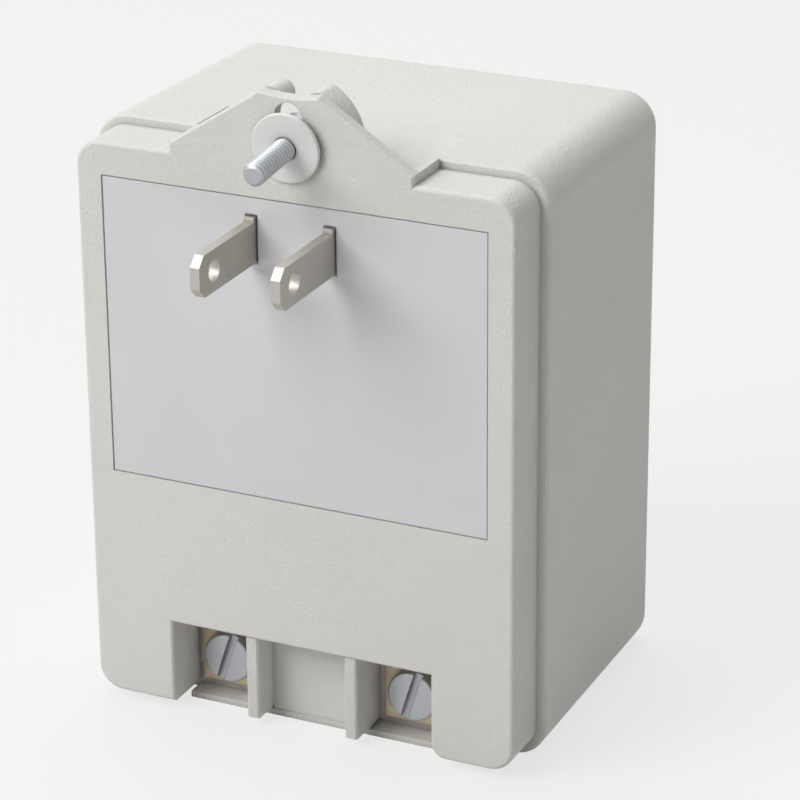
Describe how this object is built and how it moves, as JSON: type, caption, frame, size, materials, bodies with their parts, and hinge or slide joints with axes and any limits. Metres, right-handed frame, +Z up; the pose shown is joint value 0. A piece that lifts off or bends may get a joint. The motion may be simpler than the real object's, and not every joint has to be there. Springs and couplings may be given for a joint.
{
  "type": "plug-in transformer",
  "caption": "Plug-in low-voltage transformer: moulded case with two flat wall blades, fixing tab and screw, and two screw terminals.",
  "frame": {"origin": "on the wall face, midway between the two blades", "axes": "+X to the right seen from the wall, +Y from the wall into the unit, +Z up towards the fixing tab"},
  "size_m": [0.0736, 0.0714, 0.1041],
  "materials": {
    "case_plastic": "fine-textured moulded case plastic",
    "label_film": "plain silver-grey label film",
    "blade_brass": "drawn brass, lightly plated",
    "terminal_brass": "stamped brass",
    "screw_steel": "zinc-plated steel",
    "washer_fibre": "moulded washer",
    "block_plastic": "moulded block",
    "core_steel": "varnished silicon steel sheets",
    "winding_copper": "enamelled copper wire",
    "bobbin_nylon": "natural nylon",
    "tape_film": "yellow polyester tape",
    "fuse_body": "fuse body",
    "wire_black": "black wire insulation",
    "wire_white": "white wire insulation",
    "wire_yellow": "yellow wire insulation"
  },
  "bodies": {
    "root": {"rear_housing": "case_plastic", "front_cover": "case_plastic", "rating_label": "label_film", "neutral_blade": "blade_brass", "line_blade": "blade_brass", "blade_retainer": "block_plastic", "mounting_screw": "screw_steel", "retaining_washer": "washer_fibre", "terminal_block": "block_plastic", "left_terminal_plate": "terminal_brass", "right_terminal_plate": "terminal_brass", "left_terminal_screw": "screw_steel", "right_terminal_screw": "screw_steel", "core_e_sheets": "core_steel", "core_i_sheets": "core_steel", "bobbin": "bobbin_nylon", "bobbin_pins": "terminal_brass", "primary_winding": "winding_copper", "secondary_winding": "winding_copper", "primary_tape": "tape_film", "secondary_tape": "tape_film", "thermal_fuse": "fuse_body", "line_wire": "wire_black", "neutral_wire": "wire_white", "left_output_wire": "wire_yellow", "right_output_wire": "wire_yellow"}
  },
  "joints": []
}
